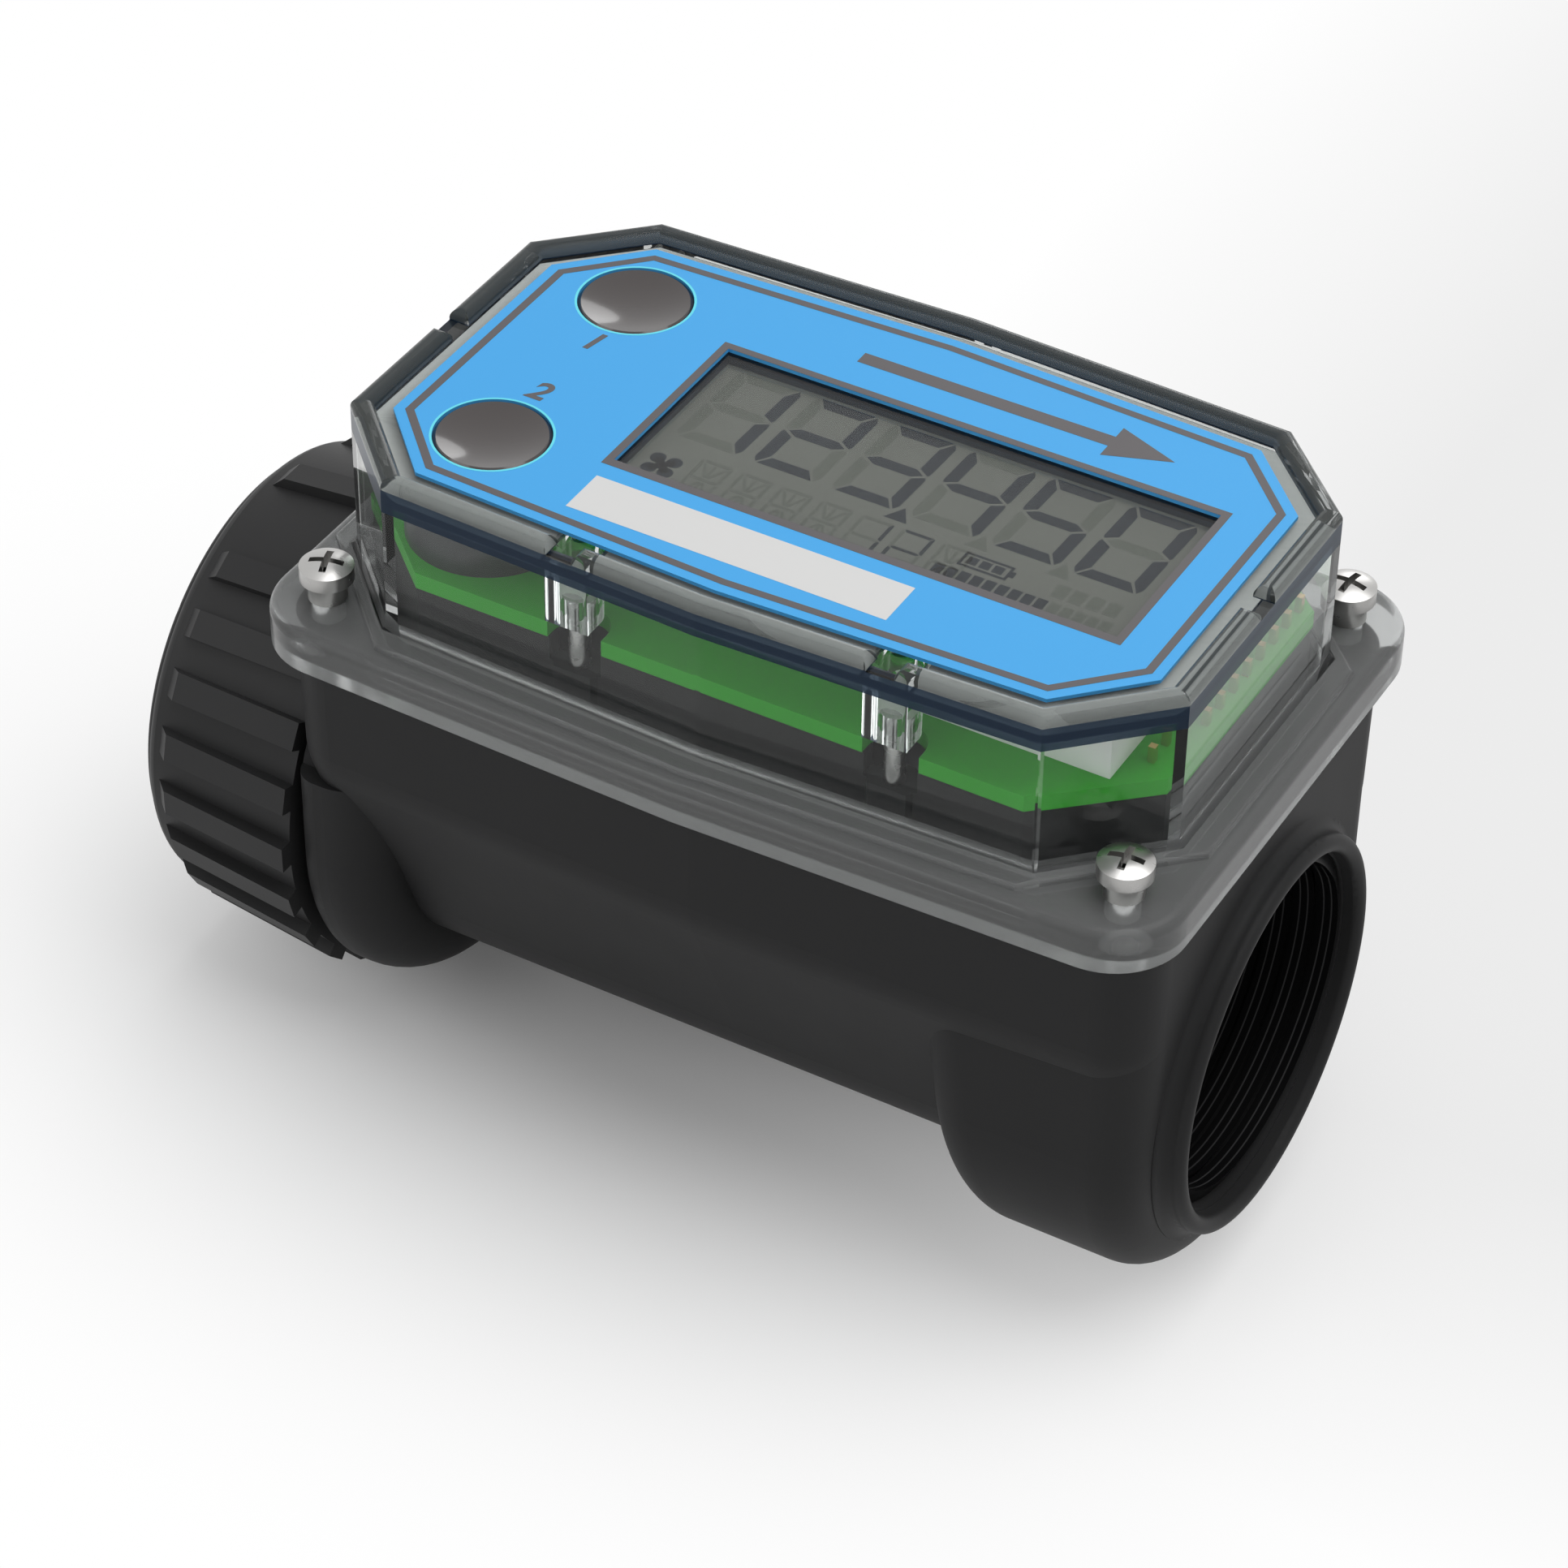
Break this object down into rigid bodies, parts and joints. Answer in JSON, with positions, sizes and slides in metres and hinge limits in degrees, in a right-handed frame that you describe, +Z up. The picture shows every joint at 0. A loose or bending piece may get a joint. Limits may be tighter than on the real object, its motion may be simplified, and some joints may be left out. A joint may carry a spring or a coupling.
{
  "type": "turbine flow meter",
  "caption": "In-line turbine flow meter with a black threaded pipe body, a swivel coupling nut and a clear cover over a blue display panel.",
  "frame": {"origin": "on the pipe axis, where the female port's thread starts, 1.8 mm inside its mouth", "axes": "+X along the pipe axis, out of the female port; +Z up, out of the display; -Y towards the display's reader"},
  "size_m": [0.1058, 0.0564, 0.0705],
  "materials": {
    "nylon": "smooth moulded black nylon",
    "clear": "clear smoke-tinted polycarbonate",
    "rubber": "moulded rubber",
    "steel": "bright steel",
    "label": "printed blue film",
    "white": "white moulding",
    "dark": "black moulding",
    "lcd": "grey display panel",
    "board": "green lacquered board",
    "gold": "gilt pins",
    "button": "glossy dark cap",
    "cell": "plain dark can",
    "copper": "enamelled copper winding",
    "support": "moulded support",
    "rotor": "pale moulded rotor",
    "ceramic": "ceramic bush"
  },
  "bodies": {
    "housing": {"meter_body": "nylon", "clear_cover": "clear", "cover_seal": "rubber", "cover_screws": "steel", "faceplate": "label", "carrier_plate": "white", "lcd_bezel": "dark", "lcd_panel": "lcd", "lcd_holder": "white", "circuit_board": "board", "header_pins": "gold", "button_housings": "dark", "tact_switches": "dark", "locating_pins": "steel", "electronics_tray": "nylon", "battery_cells": "cell", "battery_contacts": "steel", "pickup_bobbin": "dark", "pickup_coil": "copper", "pickup_core": "steel", "nut_side_support": "support", "port_side_support": "support", "rotor_shaft": "steel", "cartridge_clip": "steel", "nut_ring": "steel", "coupling_gasket": "rubber"},
    "turbine": {"rotor": "rotor", "rotor_bushes": "ceramic"},
    "nut": {"coupling_nut": "nylon"},
    "upper_key": {"upper_button": "button"},
    "lower_key": {"lower_button": "button"}
  },
  "joints": [
    {"name": "rotor_spin", "type": "hinge", "parent": "housing", "child": "turbine", "pos_m": [-0.043, 0, 0], "axis": [1, 0, 0], "continuous": true},
    {"name": "nut_spin", "type": "hinge", "parent": "housing", "child": "nut", "pos_m": [-0.095, 0, 0], "axis": [1, 0, 0], "continuous": true},
    {"name": "upper_button_press", "type": "slide", "parent": "housing", "child": "upper_key", "axis": [0, 0, -1], "range_m": [0, 0.0008], "stiffness_N_per_m": 700, "springref_m": -0.0003},
    {"name": "lower_button_press", "type": "slide", "parent": "housing", "child": "lower_key", "axis": [0, 0, -1], "range_m": [0, 0.0008], "stiffness_N_per_m": 700, "springref_m": -0.0003}
  ]
}
